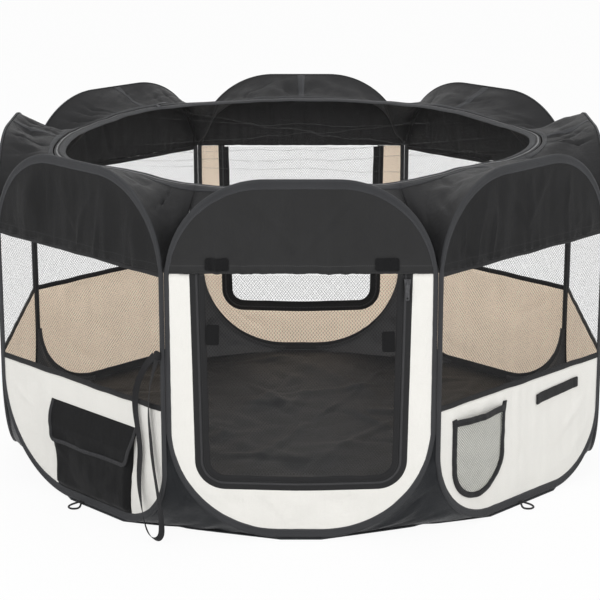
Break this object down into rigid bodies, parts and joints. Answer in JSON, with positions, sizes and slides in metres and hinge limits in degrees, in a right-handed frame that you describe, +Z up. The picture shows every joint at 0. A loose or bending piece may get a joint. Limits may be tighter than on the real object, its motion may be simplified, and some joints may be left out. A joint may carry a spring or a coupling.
{
  "type": "pet playpen",
  "caption": "Eight-sided fold-up fabric playpen for a pet, with sprung hoop walls, net windows, two roll-up net doors, a zip-off net lid, a zip-off floor and outside pockets.",
  "frame": {"origin": "on the ground at the middle of the pen", "axes": "+Z up, -Y towards the front doorway, +X to the right of someone facing the front"},
  "size_m": [1.1264, 1.1479, 0.64],
  "materials": {
    "wire": "spring steel wire",
    "binding_tape": "folded polyester binding tape, dull",
    "black_oxford": "black coated oxford weave",
    "cream_oxford": "cream oxford weave, tan coating inside",
    "black_net": "open black polyester net",
    "pale_net": "close pale grey-green net",
    "zip_tape": "woven zip tape with coil teeth",
    "zip_metal": "black enamelled die-cast",
    "hook_tape": "hook-and-loop tape",
    "webbing": "ribbed black webbing"
  },
  "bodies": {
    "floor": {"floor_mat": "black_oxford", "floor_gussets": "black_oxford", "peg_loops": "webbing"},
    "front_wall": {"front_hoop_wire": "wire", "front_binding": "binding_tape", "front_upper_band": "black_oxford", "front_door_frame": "cream_oxford", "front_door_zip_tape": "zip_tape", "front_door_tabs": "hook_tape"},
    "front_right_wall": {"front_right_hoop_wire": "wire", "front_right_binding": "binding_tape", "front_right_upper_band": "black_oxford", "front_right_mesh_window": "black_net", "front_right_lower_panel": "cream_oxford", "bottle_pocket": "pale_net", "webbing_strip": "webbing"},
    "right_wall": {"right_hoop_wire": "wire", "right_binding": "binding_tape", "right_upper_band": "black_oxford", "right_mesh_window": "black_net", "right_lower_panel": "cream_oxford"},
    "back_right_wall": {"back_right_hoop_wire": "wire", "back_right_binding": "binding_tape", "back_right_upper_band": "black_oxford", "back_right_mesh_window": "black_net", "back_right_lower_panel": "cream_oxford"},
    "back_wall": {"back_hoop_wire": "wire", "back_binding": "binding_tape", "back_upper_band": "black_oxford", "back_door_frame": "cream_oxford", "back_door_zip_tape": "zip_tape", "back_door_tabs": "hook_tape"},
    "back_left_wall": {"back_left_hoop_wire": "wire", "back_left_binding": "binding_tape", "back_left_upper_band": "black_oxford", "back_left_mesh_window": "black_net", "back_left_lower_panel": "cream_oxford"},
    "left_wall": {"left_hoop_wire": "wire", "left_binding": "binding_tape", "left_upper_band": "black_oxford", "left_mesh_window": "black_net", "left_lower_panel": "cream_oxford"},
    "front_left_wall": {"front_left_hoop_wire": "wire", "front_left_binding": "binding_tape", "front_left_upper_band": "black_oxford", "front_left_mesh_window": "black_net", "front_left_lower_panel": "cream_oxford", "flap_pocket_bag": "black_oxford", "tie_ribbon": "webbing"},
    "roof_ring": {"eave_ring": "black_oxford", "rim_zip_tape": "zip_tape"},
    "cover": {"mesh_cover": "black_net"},
    "cover_slider": {"cover_zip_slider": "zip_metal"},
    "front_door": {"front_door_flap": "black_net", "front_flap_patches": "hook_tape"},
    "front_door_slider": {"front_door_zip_slider": "zip_metal"},
    "back_door": {"back_door_flap": "black_net", "back_flap_patches": "hook_tape"},
    "back_door_slider": {"back_door_zip_slider": "zip_metal"},
    "pocket_flap": {"flap_pocket_flap": "black_oxford"}
  },
  "joints": [
    {"name": "floor_release", "type": "slide", "parent": "floor", "child": "front_wall", "axis": [0, 0, 1], "range_m": [0, 0.3]},
    {"name": "fold", "type": "hinge", "parent": "front_wall", "child": "front_right_wall", "pos_m": [0.231, -0.55768, 0], "axis": [0, 0, 1], "range_deg": [0, 130], "deforming": ["eave_ring", "rim_zip_tape", "mesh_cover", "cover_zip_slider", "floor_gussets"]},
    {"name": "fold_front_right_right", "type": "hinge", "parent": "front_right_wall", "child": "right_wall", "pos_m": [0.56368, -0.23348, 0], "axis": [0, 0, 1], "range_deg": [-216.8, 0]},
    {"name": "fold_right_back_right", "type": "hinge", "parent": "right_wall", "child": "back_right_wall", "pos_m": [0.55768, 0.231, 0], "axis": [0, 0, 1], "range_deg": [0, 130]},
    {"name": "fold_back_right_back", "type": "hinge", "parent": "back_right_wall", "child": "back_wall", "pos_m": [0.231, 0.55768, 0], "axis": [0, 0, 1], "range_deg": [-43.4, 0]},
    {"name": "fold_front_front_left", "type": "hinge", "parent": "front_wall", "child": "front_left_wall", "pos_m": [-0.231, -0.55768, 0], "axis": [0, 0, -1], "range_deg": [-43.4, 0]},
    {"name": "fold_front_left_left", "type": "hinge", "parent": "front_left_wall", "child": "left_wall", "pos_m": [-0.55768, -0.231, 0], "axis": [0, 0, -1], "range_deg": [0, 130]},
    {"name": "fold_left_back_left", "type": "hinge", "parent": "left_wall", "child": "back_left_wall", "pos_m": [-0.56368, 0.23348, 0], "axis": [0, 0, -1], "range_deg": [-216.8, 0]},
    {"name": "roof_draws_in", "type": "slide", "parent": "front_wall", "child": "roof_ring", "axis": [-0.4068, -0.9135, 0], "range_m": [0, 0.567]},
    {"name": "cover_lift", "type": "slide", "parent": "roof_ring", "child": "cover", "axis": [0, 0, 1], "range_m": [0, 0.3]},
    {"name": "cover_zip", "type": "hinge", "parent": "roof_ring", "child": "cover_slider", "pos_m": [0, 0, 0.603], "axis": [0, 0, 1], "range_deg": [0, 340]},
    {"name": "front_door_swing", "type": "hinge", "parent": "front_wall", "child": "front_door", "pos_m": [0, -0.56368, 0.479], "axis": [-1, 0, 0], "range_deg": [0, 165]},
    {"name": "front_door_zip", "type": "slide", "parent": "front_wall", "child": "front_door_slider", "axis": [0, 0, -1], "range_m": [0, 0.3]},
    {"name": "back_door_swing", "type": "hinge", "parent": "back_wall", "child": "back_door", "pos_m": [0, 0.56368, 0.479], "axis": [1, 0, 0], "range_deg": [0, 165]},
    {"name": "back_door_zip", "type": "slide", "parent": "back_wall", "child": "back_door_slider", "axis": [0, 0, -1], "range_m": [0, 0.3]},
    {"name": "pocket_flap_swing", "type": "hinge", "parent": "front_left_wall", "child": "pocket_flap", "pos_m": [-0.39731, -0.39731, 0.186], "axis": [-0.7071, 0.7071, 0], "range_deg": [0, 160]}
  ],
  "couplings": [
    {"joint": "fold_front_right_right", "follows": "fold", "ratio": -1.6667},
    {"joint": "fold_right_back_right", "follows": "fold", "ratio": 1},
    {"joint": "fold_back_right_back", "follows": "fold", "ratio": -0.33333},
    {"joint": "fold_front_front_left", "follows": "fold", "ratio": -0.33333},
    {"joint": "fold_front_left_left", "follows": "fold", "ratio": 1},
    {"joint": "fold_left_back_left", "follows": "fold", "ratio": -1.6667},
    {"joint": "roof_draws_in", "follows": "fold", "m_per_rad": 0.24963}
  ]
}
